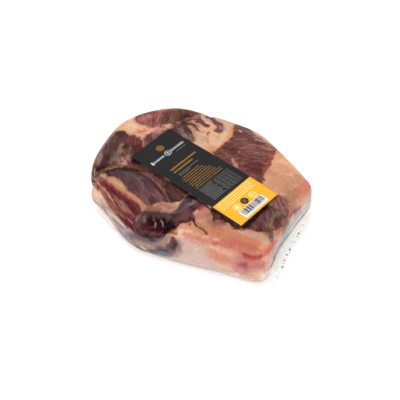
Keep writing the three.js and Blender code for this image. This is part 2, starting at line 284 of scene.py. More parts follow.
# The near-white patch at -102,50 is a painted highlight.
FAT_PATCHES = table("""
236,180,138 -96,30 20,9 -12 90
212,116,98 -78,22.5 7,3.4 12 95
226,124,104 -73,28 3,1.8 0 80
232,196,150 -88,25 8,2.4 -24 70
242,218,202 -102,50 5,12 40 70
236,206,180 -90,31 9,2.6 -16 70
170,142,134 -114,16 8,14 0 90
150,122,118 -116,-10 7,26 0 90
140,120,120 -122,-16 3.4,24 0 80
228,182,146 0,42 16,22 0 80
214,148,118 5,23 9,6 -15 80
192,166,168 -16,68 4,7 30 80
206,186,172 7,57 3,7 0 70
200,170,140 -15,36 7,9 24 80
172,96,84 -8.4,44.5 1.4,3.2 24 95
176,104,88 -14.5,47 1.2,1.6 0 90
192,124,96 -9.5,37 1.6,2.2 0 70
206,136,118 -5,35 2,6 20 80
200,158,96 3,45 2,3 0 60
222,150,112 13,52 2.4,14 4 80
250,188,138 84,38 14,9 -20 90
238,168,118 71,44 3,10 -6 90
216,156,122 80,26 12,8 0 80
196,136,76 76.5,14 2.6,4.6 -8 80
204,145,108 86,7 15,13 0 85
188,138,108 94,2 5,9 -14 70
160,114,90 99,-5 5,7 0 60
180,104,88 105,11 3,9 -16 70
190,96,88 112,14 3,8 -16 60
224,134,116 110,16 8,14 -8 75
220,152,118 110,-2 6,8 -20 80
196,140,114 105,-50 5,8 -16 95
178,130,106 108.5,-19 4,11 -8 90
134,114,114 114,-37 7,10 -8 90
192,126,95 58,-77 46,7.5 0 95
190,108,90 47,-73 7,5 20 70
210,122,94 87,-76 6,4.5 10 85
186,150,122 88,-67 16,4.4 4 85
190,122,106 56,-68.5 10,2 0 70
206,148,118 24,-82 16,4 0 85
194,150,126 15,-84 6,2.6 0 80
182,118,100 30,-61 7,9 20 80
158,112,96 -9,-67 12,4 10 95
204,120,100 -12,-69 5,1.6 0 80
172,140,126 -3,-61 4,3 -30 90
170,130,92 5,-49 2.6,8 -10 80
208,110,104 64,-84 7,2.4 -8 70
188,116,112 94,-94 22,7 2 90
216,146,132 74,-101 10,5 0 70
160,82,90 88,-99 7,3.8 4 95
194,122,100 50,-100 28,6 0 80
206,186,174 34,-106 18,14 0 75
206,182,174 60,-118 70,9 0 90
228,208,200 98,-115 18,5 6 90
178,146,132 2,-98 6,7 0 95
202,175,161 24,-102 9,12 0 80
134,86,64 6.5,-88 6,4 20 95
226,194,174 -100,-66 16,12 -40 95
232,176,136 -100,-72 9,2 -8 60
178,154,146 -76,-83 22,6 -36 90
150,128,132 -48,-102 16,6 -32 90
216,208,200 -96,-84 20,6 -40 90
234,198,172 -95,-76 12,4 -45 85
170,158,164 -44,-106 14,5 -30 80
112,94,98 -24,-106 22,5 2 95
172,152,146 -34,-121 12,4 -16 90
106,116,126 -2,-121 18,5 10 95
142,102,100 17,-106 5.4,10 10 85
208,186,176 40,-132 90,8 0 90
196,174,168 -66,-122 44,9 -30 90
160,112,90 42,-70 9,4 -8 90
178,122,98 26,-67 6,3.6 0 80
166,116,94 35,-62.5 5,3.6 0 80
152,110,95 -58,38 4,3 30 80
178,124,100 102,-9 6,6 -20 80
184,124,102 104,1 5,6 0 80
208,162,152 103,-106 10,5 0 80
190,132,130 91,-105 10,4 0 80
202,144,120 36,-91 14,4 0 70
196,122,104 76,-83 20,3 0 70
190,106,90 80,-81 18,3.6 0 80
236,226,220 123,-98 6,9 0 90
230,188,160 20,-86 9,2.6 0 80
200,138,111 70,17 4,6 0 80
200,138,111 99,19 5,7 0 80
138,102,90 -22,-46 16,4 -42 90
128,90,78 -40,58 7,3 48 85
134,104,92 97,-62 5,3.4 0 90
128,84,74 49,-67.6 7,2.4 0 85
222,190,172 -66,98 30,8 -14 80
208,152,136 -30,96 22,6 -4 70
236,208,190 2,96 22,6 0 80
214,158,136 40,88 18,7 24 70
200,146,134 -52,128 26,7 -20 80
230,200,184 -14,127 26,6 -4 80
206,158,146 30,124 24,7 12 80
170,134,136 60,116 20,7 34 70
232,196,168 80,72 14,10 44 70
210,146,128 92,98 12,14 50 80
232,204,190 112,84 8,16 40 70
198,150,142 130,60 8,16 30 80
216,168,148 -112,66 9,18 -32 70
234,206,190 -126,62 8,12 -36 70
180,140,140 -112,108 20,8 36 70
222,188,172 -138,50 7,14 -20 70
206,164,152 -146,10 6,30 0 80
214,184,172 -140,-34 10,14 20 80
150,118,124 0,138 60,5 0 60
190,160,160 140,20 7,30 4 80
206,178,170 146,-40 7,40 4 80
""")

# Strokes of colour over everything: colour, half width, softness and strength in percent, line
# The near-black strokes 14,8,9 along the label's near edge and right end are painted shadow of the label.
# The near-black strokes 28,14,16 and 26,12,12 in the hollow are dark meat with painted shade.
# The near-white line from -84,-80 to -46,-98 and the pinkish white line from 106,-88 to 114,-52 are
# painted highlights.
# The pale strokes in the hollow between -35,-79 and -5,-91 are painted glints.
STROKES = table("""
90,66,60 2.2 70 85 -78,-31.6 -70,-29.6 -60,-28 -48,-28.4
100,86,64 0.9 70 85 -112,-38.5 -100,-37.5 -90,-35.5 -82,-32 -76,-29.5 -70,-27.5
48,42,30 1 50 95 -126,-39 -116,-40.5 -106,-40 -98,-39 -90,-37.3 -82,-35 -76,-32 -69,-29.5 -62,-28 \
-54,-27.5 -46,-29
186,160,152 0.7 60 80 -108,-31 -109,-36 -112,-40
132,104,100 3 90 80 -111,24 -111,10 -112,0 -113,-12 -116,-25
166,120,102 0.6 50 80 -76,-30 -70,-28 -65,-25.6
78,56,51 1.3 80 75 -72,-29 -66,-26.8 -58,-25.6 -50,-26.6
142,104,98 0.9 80 85 -56,-28 -46,-29.4 -38,-32.4 -28,-38.8 -18,-47.2 -10,-55 -4,-59
176,138,128 0.6 50 80 -72,-14.5 -73,-19 -71,-24 -68,-26
176,138,128 0.6 50 80 -79,-19 -76,-22 -73,-25 -70,-27
176,128,116 0.8 50 80 -71,18 -68,11 -65,5 -62,0
186,146,134 0.5 50 70 -82,36 -83,43 -85,49
190,150,136 0.5 50 70 -77,35 -78,44 -80,52
186,142,130 0.5 50 60 -71,36 -74,47 -77,58
176,132,120 0.5 50 60 -66,41 -67,50 -68,60
52,36,30 1 60 85 -51,43 -48,46.4 -42,53 -37,59 -31,65 -28,74
76,57,47 1.6 60 90 -52,46 -47,52 -41,58.5
150,122,92 1.6 60 70 -34,66 -31,72 -30,82
206,166,132 1.2 50 90 -33,61 -27,58 -23,54 -17,49
116,82,58 0.6 50 80 -25,55.5 -22,52 -20.5,51
236,210,200 0.8 50 90 -26,74 -24,71 -20.5,65.5 -17,61 -12,58.6
176,146,132 0.8 60 70 -28,47 -23,43 -18,37
168,128,118 0.5 50 60 -44,46 -36,41 -28,33
150,114,100 0.6 50 80 30,36 38,40 46,42
156,120,106 0.6 50 80 20,46 28,49 35,52.5
160,124,108 0.6 50 70 36,44 45,47 53,50.5
150,112,96 0.5 50 70 44,34 52,38 62,41
150,112,100 0.5 50 70 14,25 19,24 25,20.5
150,110,98 0.5 50 60 40,27 50,29 60,33
190,116,92 2.6 95 70 18,-90 20,-88.5 40,-88 58,-86.5
186,101,86 3.4 90 80 50,-87.6 68,-86.2 78,-86.8 88,-88 96,-86.6 101,-83
166,60,60 1.9 95 90 80,-88.6 88,-89.4 95,-88.4 100,-85
214,106,100 3 90 85 100,-85 103,-77 105.5,-69 109,-60
222,186,180 2 90 90 106,-88 109,-76 111,-64 114,-52
234,164,118 0.9 70 70 92,-70 96.5,-75 95,-81
40,34,26 1.2 50 100 21.5,-69 24,-73 28.5,-76.5
168,132,84 0.9 60 90 25,-71 31,-74.5 37,-77
96,66,40 0.8 50 95 28,-76 33,-77.4 38,-79 42,-82.5
112,48,46 1.4 70 80 20,-78.5 23,-78
126,110,92 1.3 80 85 105,-29 99,-29 95.5,-33 93.5,-40 94,-47
138,100,68 1.2 80 80 94,-45 95,-51 97,-58
178,130,102 0.6 70 80 91,-9.5 97,-15 103,-22
164,116,94 0.5 70 75 87,-11 93,-18 99,-25
186,138,110 0.7 70 85 96,-10.5 102,-16 107,-23
80,40,42 0.7 70 80 86,-14 92,-21 97,-27
84,44,44 0.6 70 75 90,-13 97,-20 103,-27
96,56,52 0.6 70 70 96,-14 102,-20 106,-26
108,90,86 2.4 80 90 98.5,-56 100.5,-62 102,-68
148,138,140 1 70 80 100.5,-64 102,-66.5
150,62,66 1.5 70 90 112,-26 113.5,-16 117,-7 124,1
222,216,220 6 50 90 124,34 134,14 130,-4 127,-20 128,-36 126,-54 121,-70 114,-86
164,160,192 0.9 80 80 127,26 131,12 126,0 121,-10 123,-24 124,-42 120,-60 113,-78
112,100,132 1.4 80 85 129,4 124,-2 119,-9 116,-16
158,112,104 1.2 90 70 -90,86 -60,101 -30,101 0,99 30,95 56,82 76,70
176,112,104 0.8 90 70 -60,118 -30,124 10,122 44,113 70,96
204,178,168 1.4 90 70 -70,106 -40,106 -10,101 20,101 46,92
150,96,92 0.8 90 60 -122,52 -126,30 -128,6 -127,-14
110,90,100 1.5 80 90 140,8 142,-9 139,-30 135,-52 129,-70 115,-88
228,196,150 1 70 90 106,-88 112,-91.5 114,-94 109,-98 104,-101
176,130,110 1.1 70 90 -97,-39.5 -90,-41.5 -84,-45
168,132,112 3 50 90 -91,-42.6 -80,-48.6 -70,-53.4 -60,-58.6 -52,-63
176,128,106 1.8 50 90 -56,-61.5 -48,-65 -40,-68 -32,-72.5 -26,-74
190,158,110 1.6 80 90 -80,-46 -72,-49.5 -66,-52 -61,-56 -57,-60
208,166,130 1 80 80 -82,-46.6 -76,-50 -70,-52.5 -65,-55.5 -60,-59
196,158,116 0.9 70 70 -56,-61 -48,-64.2 -40,-67 -34,-71
164,88,76 0.9 80 90 -96,-44.4 -88,-48.6 -80,-53 -68,-58.8 -60,-62.6 -52,-66.4 -44,-69.6 -37,-72.6
96,34,38 0.9 60 80 -90,-50 -80,-56 -68,-62 -56,-67.6 -46,-71.6
210,172,160 0.4 40 90 -57,-70.5 -52,-72.5
82,42,46 1.1 60 85 -72,-70.5 -64,-78 -56,-83 -47,-87.5 -40,-93
80,34,40 1.2 60 85 -66,-65.5 -58,-69 -50,-73 -42,-78 -37,-82
92,42,44 0.8 60 80 -96,-49.5 -86,-55.5 -77,-61 -70,-66.5
104,46,50 0.8 60 70 -86,-64 -76,-74 -66,-82.5 -54,-90.5 -44,-97
128,112,94 0.9 60 90 -123,-42 -116,-54 -113,-62 -98,-74 -83,-84 -70,-89.5 -60,-94 -46,-101
214,210,208 1.2 70 80 -84,-80 -70,-86 -58,-91 -46,-98
122,110,124 5 60 95 -80,-99 -64,-105 -52,-112 -42,-118 -30,-123
80,68,84 1.8 80 90 -62,-111 -50,-118.6 -40,-122 -26,-127
150,60,84 0.6 60 70 -72,-101 -64,-103 -56,-105
76,36,44 1.8 80 85 -50,-88 -43,-93 -38,-98 -33,-103
110,92,98 2.6 70 85 -52,-103 -42,-107 -30,-107.5 -16,-106.5 -6,-103.5 -1,-99
74,50,57 1.5 80 85 -37,-98 -30,-102 -20,-102.8 -9,-101.4 -1,-97
66,46,56 2 70 85 -17,-104 -12,-105.5 -8,-107
164,142,130 2.8 60 90 -48,-113 -40,-116 -32,-115 -24,-112.6 -16,-112
148,122,114 2.2 70 90 -22,-111.5 -12,-110.6 -4,-108 1,-104 4,-98 5,-94
94,102,112 3.2 70 90 -20,-124 -8,-121.6 0,-120 8,-117.6 14,-113
92,76,88 2.4 60 90 8,-110 0,-113.5 -7,-116.5 -15,-119 -25,-121.5
84,66,78 5.2 45 95 11,-96 11.5,-102 10,-107.5 5,-111 -2,-114.5
62,46,56 2.4 80 85 11,-98 13.5,-103 12,-108 6,-111
104,66,76 1 70 80 6,-103 3,-108 -2,-112 -9,-115
112,58,64 2.8 50 95 10,-94 10,-97 10.5,-100
146,98,104 1.1 70 80 6,-115.5 12,-114.5 17,-111.5 19,-105
44,32,38 0.8 70 60 -34,-96 -29,-100.6 -20,-101.8 -9,-100 -1,-96
156,144,142 0.7 60 85 -18,-72.6 -8,-72 -1,-70 2,-65 3,-58
132,114,108 1 60 85 -32,-79 -35,-84 -35.4,-90
140,122,116 0.6 60 85 -15,-80 -13.6,-84 -13,-91
150,134,128 0.6 60 85 -9,-79.5 -6.6,-80.5 -5.4,-84.5
170,160,154 0.5 50 90 -18,-79 -16,-79.6
28,14,16 1 60 80 -11,-82 -10,-90
28,14,16 1 60 80 -19,-82 -18,-88
26,12,12 1.2 60 80 -2,-78 2,-84 0,-92
170,142,138 1.6 80 80 -118,-36 -114,-42 -112,-47
140,114,114 2 80 80 -27,-117 -18,-116.4 -9,-114.6
136,96,82 2 80 85 -28,-73 -20,-72 -11,-70.6
84,62,60 1.8 70 85 -18,-74 -9,-74.4 0,-73.4
14,8,9 1.3 80 90 -20,-35 0,-42.5 20,-49.6 40,-57 56,-63 71,-68
14,8,9 2.2 80 95 72,-67 76,-54 80,-40 84,-27
""")

# How milky the film looks: amount, middle, half sizes, turn in degrees
HAZE = table("""
0.3 -62,-108 30,8 -32
0.16 -80,-92 24,8 -34
0.3 142,-40 16,60 4
0.3 122,-100 14,9 0
0.12 60,-122 80,8 0
0.16 -20,118 70,7 -4
0.16 96,92 12,24 42
0.2 -136,20 8,34 -6
""")

# What the painting starts from: colours, depth inside lean meat, ragged edge. Then the steps of a lean
# shape's edge for each of its points, a patch's softness, and where a haze fades, in shares of its size.
BASE_FAT = (226, 180, 152)
NEUTRAL_LEAN = (110, 72, 68)
FAR_OUTSIDE = -40.0
PLAIN_EDGE = 1.5
SHAPE_DETAIL = 6
PATCH_SOFTNESS = 0.45
HAZE_EDGE = (0.4, 1.3)
# A fat line recolours the fat this far from its edge
FAT_LINE_REACH = 2.0
# How far everything wanders, in bumps of a size, and how far the fibres comb what is painted on lean
WANDER = ((9.0, 0.9), (4.0, 0.45))
WAVES = 10
LINE_WANDER = 0.35
LEAN_WANDER = 0.5
LEAN_COMB = 0.4
COMB_REACH = 2.2
COMB_SIZE = 2.6
COMB_STRETCH = 0.12
COMB_SEED = 11
# A stroke is thin at its ends, and its width varies by a share in bumps of a size
STROKE_TAPER = 5
STROKE_TIP = 0.1
STROKE_VARIES = 0.22
STROKE_BUMPS = 9.0
STROKE_SEED = 21

# Noise along the fibres: its scale along and across them, detail, roughness, distortion
FIBRE = ((0.1, 0.8, 1.0), 4.0, 0.6, 0.4)
STRAND = ((0.03, 0.14, 1.0), 3.0, 0.6, 0.5)
VEIN = ((0.05, 0.2, 1.0), 3.0, 0.6, 0.8)
# Noise by place: scale, detail, roughness
MOTTLE = (260.0, 4.0, 0.65)
RAGGED = (240.0, 5.0, 0.65)
LEAN_CLOUD = (90.0, 4.0, 0.6)
FAT_CLOUD = (75.0, 4.0, 0.6)
VEIN_BREAK = (120.0, 3.0, 0.6)
# What a value is turned into: from low, from high, to low, to high
LEAN_GAIN = 1.08
FIBRE_TONE = (0.38, 0.62, 0.66, 1.3)
STRAND_TONE = (0.38, 0.62, 0.8, 1.16)
LEAN_CLOUD_TONE = (0.35, 0.65, 1.12 * LEAN_GAIN, 0.86 * LEAN_GAIN)
RED_STRANDS = (0.5, 0.36, 0.0, 0.7)
RED_RIM = (0.0, 3.0, 0.7, 0.0)
VEIN_WIDTH = (0.0, 0.035, 1.0, 0.0)
VEIN_GAPS = (0.42, 0.6)
MOTTLE_TONE = (0.36, 0.64, 0.94, 1.05)
FAT_FIBRE_TONE = (0.34, 0.66, 0.9, 1.07)
ORANGE_CLOUD = (0.5, 0.68, 0.0, 0.35)
STAIN = (-4.0, 0.0, 0.0, 0.65)
LEAN_EDGE = (-1.5, 1.3)
# Tints that multiply a colour
STRAND_TINT = (1.1, 0.78, 0.74, 1.0)
RIM_TINT = (1.0, 0.66, 0.62, 1.0)
CLOUD_TINT = (0.98, 0.8, 0.7, 1.0)
STAIN_TINT = (0.92, 0.66, 0.58, 1.0)
VEIN_COLOUR = (178, 132, 114)
VEIN_STRENGTH = 0.6
# How far the noise moves the edge of lean, the heights that make its bumps, and the meat's gain
EDGE_RAGGED = 4.0
FIBRE_HEIGHT = 0.6
MOTTLE_HEIGHT = 0.4
MEAT_GAIN = 0.62
MEAT_SURFACE = {
    "Roughness": 0.5, "Specular_IOR_Level": 0.01, "Subsurface_Weight": 0.08, "Subsurface_Scale": 0.001,
    "Subsurface_Radius": (1.0, 0.45, 0.3)}
# Bumps: distance in metres and strength
MEAT_BUMP = (0.0004, 0.5)
FILM_BUMP = (0.0005, 0.6)
PAPER_BUMP = (0.00005, 0.4)

# The film over the meat
FILM_GLOSS = 0.05
FILM_ROUGHNESS = 0.14
FILM_IOR = 1.35
FILM_NOISE = (70.0, 3.0, 0.5, 1.0)
STREAKS = (150.0, 4.0, 0.6, 1.5)
STREAK_TONE = (0.3, 0.7, 0.4, 1.0)
MILK = (226, 223, 222)
# Welded film: noise along and across the band, its range, the colour of painted shade in creases, at the
# root and on teeth, and for the seal and the fold their colour and how milky they are all over, in lines
# and in pleats
WELD_LINES = ((0.03, 1.1, 1.0), 3.0, 0.6)
WELD_PLEATS = ((0.45, 0.05, 1.0), 3.0, 0.6)
WELD_RANGE = (0.4, 0.62, 0.0)
CREASE_SHADE = (58, 50, 56)
SEALED_FILM = ((212, 213, 208), 0.3, 0.16, 0.08)
FOLDED_FILM = ((206, 200, 196), 0.12, 0.1, 0.12)
# Paper
SPECKLE = (900.0, 3.0, 0.6)
SPECKLE_TONE = (0.3, 0.7, 0.96, 1.02)
PAPER_CLOUD = (60.0, 2.0, 0.5)
PAPER_CLOUD_TONE = (0.3, 0.7, -0.02, 0.02)
PAPER_GAIN = 0.74
PAPER_SURFACE = {"Roughness": 0.45, "Specular_IOR_Level": 0.02}

# The label: its places are along it from the left end and across it from the near edge
LABEL_LENGTH = 146.5
LABEL_WIDTH = 57.0
LABEL_THICKNESS = 0.4
LABEL_CENTRE = (10.0, -14.3)
LABEL_TURN = -19.3
LABEL_HEIGHT = 52.5
LABEL_END_DIP = 1.0
LABEL_JOINT = 110.4
LABEL_COLUMNS = (44, 16)
LABEL_ROWS = 24
CHARCOAL = (40, 40, 41)
YELLOW = (246, 173, 50)
CORE = (84, 76, 66)
INKS = {"white": (236, 236, 236), "grey": (150, 150, 150), "gold": (188, 136, 46), "black": (34, 32, 31),
        "pale": (255, 228, 164), "dull": (112, 112, 112)}
INK_ORDER = list(INKS)
INK_LIFT = 0.03
DISC_STEPS = 28
SHORTEST_WORD = 0.25
PRINT_SEED = 7

# The seal band and the folded end of the film
RIM_POINTS = 720
END_ZONE = 50
FILM_ROOT = 4.0
SEAL_SPAN = (-85.0, 33.0)
SEAL_ROOT_HEIGHT = 25.0
SEAL_REACH = 8.5
SEAL_DROP = 14.0
SEAL_TOOTH = 0.9
SEAL_TEETH = 30
SEAL_ROWS = 24
TOOTH_START = 0.93
# Teeth whose edge gets painted shade, counted from the near end, and how dark
SHADED_TEETH = {1: 0.3, 4: 0.9, 5: 0.3, 6: 0.8, 8: 0.9, 10: 0.95, 13: 0.4, 15: 0.5, 16: 0.95, 19: 0.3}
FOLD_SPAN = (-84.0, -20.0)
FOLD_GRID = (8, 60)
FOLD_ROOT_HEIGHT = 22.0
FOLD_REACH = 4.2
FOLD_DROP = 10.0

# The stage, in metres: place, aim, size and watts of each lamp, and half the floor
KEY_LIGHT = ((-0.7, 0.4, 1.9), (0, 0, 0), 1.6, 22)
FILL_LIGHT = ((0.5, -1.7, 1.0), (0, 0, 0.02), 1.8, 30)
WHITE = (1.0, 1.0, 1.0, 1.0)
FLOOR_SURFACE = {"Base_Color": (0.94, 0.94, 0.94, 1.0), "Roughness": 0.8, "Specular_IOR_Level": 0.1}
FLOOR_HALF = 4.0

# The camera
CAMERA_AIM = (19.64, -46.58, 52.0)
CAMERA_AZIMUTH = 22.0
CAMERA_ELEVATION = 45.5
CAMERA_DISTANCE = 1000.0
CAMERA_LENS = 91.7
SENSOR = 36.0


def smooth(start, end, value):
    """0 before the start, 1 after the end, and a smooth step between them."""
    t = np.clip((value - start) / (end - start), 0.0, 1.0)
    return t * t * (3.0 - 2.0 * t)


def linear(colour):
    """The shown 0 to 255 colour as linear light."""
    shown = np.asarray(colour, float) / 255.0
    return np.where(shown <= 0.04045, shown / 12.92, ((shown + 0.055) / 1.055) ** 2.4)


def colour_of(shown):
    return (*linear(shown), 1.0)


def closed_curve(rows, per_span):
    """A closed smooth curve through rows of numbers."""
    b = np.array(rows, float)
    a, c, d = np.roll(b, 1, 0), np.roll(b, -1, 0), np.roll(b, -2, 0)
    a, b, c, d = (v[:, None, :] for v in (a, b, c, d))
    t = (np.arange(per_span) / per_span)[None, :, None]
    bend, twist = 2 * a - 5 * b + 4 * c - d, 3 * b - a - 3 * c + d
    curve = 0.5 * (2 * b + (c - a) * t + bend * t**2 + twist * t**3)
    return curve.reshape(-1, curve.shape[2])


def even_steps(curve, count):
    """The closed curve at even steps along its x, y length."""
    closed = np.vstack([curve, curve[:1]])
    steps = np.hypot(*np.diff(closed[:, :2], axis=0).T)
    along = np.concatenate([[0.0], np.cumsum(steps)])
    wanted = np.arange(count) / count * along[-1]
    return np.stack([np.interp(wanted, along, column) for column in closed.T], 1)


class Rim:
    """The widest line of the ham, with its outward directions and the edge's measures."""

    def __init__(self, count):
        rows = even_steps(closed_curve(OUTLINE, RIM_DETAIL), count)
        self.xy = rows[:, :2]
        step = np.roll(self.xy, -1, 0) - np.roll(self.xy, 1, 0)
        step /= np.hypot(*step.T)[:, None]
        self.out = np.stack([step[:, 1], -step[:, 0]], 1)
        self.round, self.square, self.equator, self.foot = rows[:, 2:].T
        self.depth = (self.xy * self.out).sum(1)


def top_height(x, y):
    near = np.minimum(y, 0) / HALF_WIDTH
    fall = END_FALL * (x / HALF_LENGTH) ** 2 + NEAR_FALL * near**2
    return CROWN - fall - NEAR_SHOULDER_FALL * smooth(*NEAR_SHOULDER, y)


def along_line(x, y, line):
    """For each piece of a line: how far along it its nearest place is, 0 to 1, and how far away."""
    for (ax, ay), (bx, by) in zip(line, line[1:]):
        span = (bx - ax) ** 2 + (by - ay) ** 2
        t = np.clip(((x - ax) * (bx - ax) + (y - ay) * (by - ay)) / span, 0, 1)
        yield t, np.hypot(x - ax - (bx - ax) * t, y - ay - (by - ay) * t)


def distance_to_line(x, y, line):
    nearest = np.full(np.shape(x), np.inf)
    for _, distance in along_line(x, y, line):
        nearest = np.minimum(nearest, distance)
    return nearest


def oval(x, y, middle, half, turn):
    """How far a point is from the middle of a turned oval, where 1 is its edge."""
    angle = math.radians(turn)
    dx, dy = x - middle[0], y - middle[1]
    u = (dx * math.cos(angle) + dy * math.sin(angle)) / half[0]
    v = (dy * math.cos(angle) - dx * math.sin(angle)) / half[1]
    return np.sqrt(u * u + v * v)


def relief(x, y, furrow_depth):
    rise = np.zeros(np.shape(x))
    for width, depth, *line in FURROWS:
        rise -= furrow_depth * depth * np.exp(-((distance_to_line(x, y, pairs(line)) / width) ** 2))
    for row in SWELLINGS:
        turn, height = row[4:]
        rise += height * np.exp(-(oval(x, y, row[:2], row[2:4], turn) ** 2))
    return rise


def plain_rings(rim, top_rings, wall_rings, base_rings, crowding):
    """Rings of points from the middle over the edge to the base, and how far each moves sideways."""
    rings, sideways = [], []
    for k in range(top_rings + 1):
        share = 1 - (1 - k / top_rings) ** crowding
        near = np.clip(1 - (1 - share) * rim.depth / rim.round, 0, 1)
        xy = rim.xy * share
        crown = top_height(xy[:, 0], xy[:, 1])
        z = rim.equator + (crown - rim.equator) * (1 - near**rim.square) ** (1 / rim.square)
        rings.append(np.column_stack([xy, z]))
        sideways.append(near**3)
    power = 2 / FOOT_SQUARENESS
    for k in range(1, wall_rings + 1):
        angle = k / wall_rings * math.pi / 2
        cosine = max(math.cos(angle), 0.0) if k < wall_rings else 0.0
        inset = rim.foot * (1 - cosine**power)
        xy = rim.xy * (1 - inset / rim.depth)[:, None]
        rings.append(np.column_stack([xy, rim.equator * (1 - math.sin(angle) ** power)]))
        sideways.append(np.ones(len(xy)))
    foot = rings[-1]
    for k in range(1, base_rings):
        rings.append(foot * np.array([1 - k / base_rings, 1 - k / base_rings, 0.0]))
        sideways.append(np.ones(len(foot)))
    return np.array(rings), np.array(sideways)


def flat_places(rings, rim):
    steps = np.linalg.norm(np.diff(rings, axis=0), axis=2)
    arc = np.vstack([np.zeros((1, rings.shape[1])), np.cumsum(steps, 0)])
    direction = rim.xy / np.hypot(*rim.xy.T)[:, None]
    return direction[None] * arc[:, :, None]


def ham_surface(grid, furrow_depth, inset):
    """The ham's surface on a grid, a little inside the solid: points in mm and their flat places."""
    rim = Rim(grid[0])
    rings, sideways = plain_rings(rim, *grid[1:])
    flat = flat_places(rings, rim)
    rise = relief(rings[..., 0], rings[..., 1], furrow_depth) * smooth(0, RELIEF_FADE, rings[..., 2])
    rise = rise - inset
    out = rim.out[None] * (rise * sideways)[..., None]
    up = rise * (1 - sideways)
    points = rings + np.concatenate([out, up[..., None]], 2)
    points[..., 2] = np.maximum(points[..., 2], LOWEST)
    return points + np.array(FORM_SHIFT), flat


def new_mesh(name, points, faces):
    mesh = bpy.data.meshes.new(name)
    mesh.from_pydata((np.asarray(points) * MM).tolist(), [], faces)
    mesh.polygons.foreach_set("use_smooth", [True] * len(mesh.polygons))
    mesh.update()
    made = bpy.data.objects.new(name, mesh)
    bpy.context.scene.collection.objects.link(made)
    return made


def ring_faces(rings, angles):
    """Faces of a grid of rings whose first ring is one point, vertex 0."""
    faces = [(0, 1 + i, 1 + (i + 1) % angles) for i in range(angles)]
    for ring in range(1, rings - 1):
        inner, outer = 1 + (ring - 1) * angles, 1 + ring * angles
        for i in range(angles):
            j = (i + 1) % angles
            faces.append((inner + i, outer + i, outer + j, inner + j))
    last = 1 + (rings - 2) * angles
    faces.append(tuple(last + i for i in reversed(range(angles))))
    return faces


def ham_mesh(name, grid, furrow_depth, inset):
    """The ham's surface as a closed mesh, and the flat places of its corners as x and y."""
    surfaces = ham_surface(grid, furrow_depth, inset)
    points, places = (np.vstack([r[0, :1], r[1:].reshape(-1, r.shape[2])]) for r in surfaces)
    return new_mesh(name, points, ring_faces(len(surfaces[0]), grid[0])), *places.T


def add_values(thing, name, *columns):
    """Writes one, three or four numbers for each corner of a mesh, for its material to read."""
    kind, key = ATTRIBUTES[len(columns)]
    layer = thing.data.attributes.new(name, kind, "POINT")
    layer.data.foreach_set(key, np.column_stack(columns).astype(np.float32).ravel())


def waves(x, y, size, seed):
    """A smooth random field with bumps of about one size, mostly between -1 and 1."""
    rng = random.Random(seed)
    total = np.zeros(np.shape(x))
    for _ in range(WAVES):
        angle, phase = rng.uniform(0, 2 * math.pi), rng.uniform(0, 2 * math.pi)
        pace = 2 * math.pi / size * rng.uniform(0.6, 1.5)
        total += np.sin(pace * (x * math.cos(angle) + y * math.sin(angle)) + phase)
    return total / math.sqrt(WAVES)


def wander(x, y):
    """How far each place is moved, so that no painted edge is smooth."""
    steps = [[reach * waves(x, y, size, 2 * seed + k) for k in range(2)]
             for seed, (size, reach) in enumerate(WANDER)]
    return np.sum(steps, axis=0)


def comb(x, y, direction, reach):
    """The places moved along the fibres by a field that changes quickly across them."""
    c, s = np.cos(direction), np.sin(direction)
    along, across = x * c + y * s, y * c - x * s
    push = reach * waves(along * COMB_STRETCH, across, COMB_SIZE, COMB_SEED)
    return x + push * c, y + push * s


def signed_depth(x, y, outline):
    """Distance in mm to a closed smooth outline, above zero inside it."""
    curve = closed_curve(outline, SHAPE_DETAIL)
    depth = distance_to_line(x, y, np.vstack([curve, curve[:1]]))
    inside = np.zeros(np.shape(x), bool)
    for (ax, ay), (bx, by) in zip(curve, np.roll(curve, -1, 0)):
        crosses = (ay > y) != (by > y)
        rise = by - ay if by != ay else 1.0
        inside ^= crosses & (x < (bx - ax) * (y - ay) / rise + ax)
    return np.where(inside, depth, -depth)


def stroke(x, y, half_width, line):
    """How far a point is from a tapered stroke's middle line, where 1 is its edge."""
    nearest, progress = np.full(np.shape(x), np.inf), np.zeros(np.shape(x))
    lengths = [math.dist(a, b) for a, b in zip(line, line[1:])]
    whole, before = sum(lengths), 0.0
    for length, (t, distance) in zip(lengths, along_line(x, y, line)):
        closer = distance < nearest
        nearest = np.where(closer, distance, nearest)
        progress = np.where(closer, (before + t * length) / whole, progress)
        before += length
    taper = np.sqrt(np.minimum(1.0, STROKE_TAPER * np.minimum(progress, 1 - progress) + STROKE_TIP))
    return nearest / (half_width * taper * (1 + STROKE_VARIES * waves(x, y, STROKE_BUMPS, STROKE_SEED)))


def soft_edge(softness, reach):
    """How much a soft shape covers at a distance from its middle, where 1 is its edge."""
    return 1 - smooth(1 - softness, 1 + softness, reach)


def blend_patches(x, y, tint, patches):
    for row in patches:
        turn, percent = row[7:]
        share = percent / 100 * soft_edge(PATCH_SOFTNESS, oval(x, y, row[3:5], row[5:7], turn))
        tint += share[:, None] * (linear(row[:3]) - tint)


def lay_lean(x, y, moved):
    """What the lean shapes say of each place: depth, colour, fibre direction, marbling, ragged edge."""
    count = len(x)
    depth = np.full(count, FAR_OUTSIDE)
    tint = np.tile(linear(NEUTRAL_LEAN), (count, 1))
    turn, marbling, ragged = np.zeros(count), np.zeros(count), np.full(count, PLAIN_EDGE)
    for row in LEANS:
        direction, marbled, edge = math.radians(row[3]), row[4], row[5]
        combed = comb(*((x, y) + LEAN_WANDER * edge * moved), direction, LEAN_COMB * edge)
        here = signed_depth(*combed, pairs(row[6:]))
        nearer = here > depth
        depth = np.maximum(depth, here)
        tint[nearer] = linear(row[:3])
        turn[nearer] = direction
        marbling[nearer] = marbled
        ragged[nearer] = edge
    return depth, tint, turn, marbling, ragged


def blend_strokes(places, tints):
    for row in STROKES:
        reach = stroke(*places, row[3], pairs(row[6:]))
        share = row[5] / 100 * soft_edge(row[4] / 100, reach)[:, None]
        for tint in tints:
            tint += share * (linear(row[:3]) - tint)


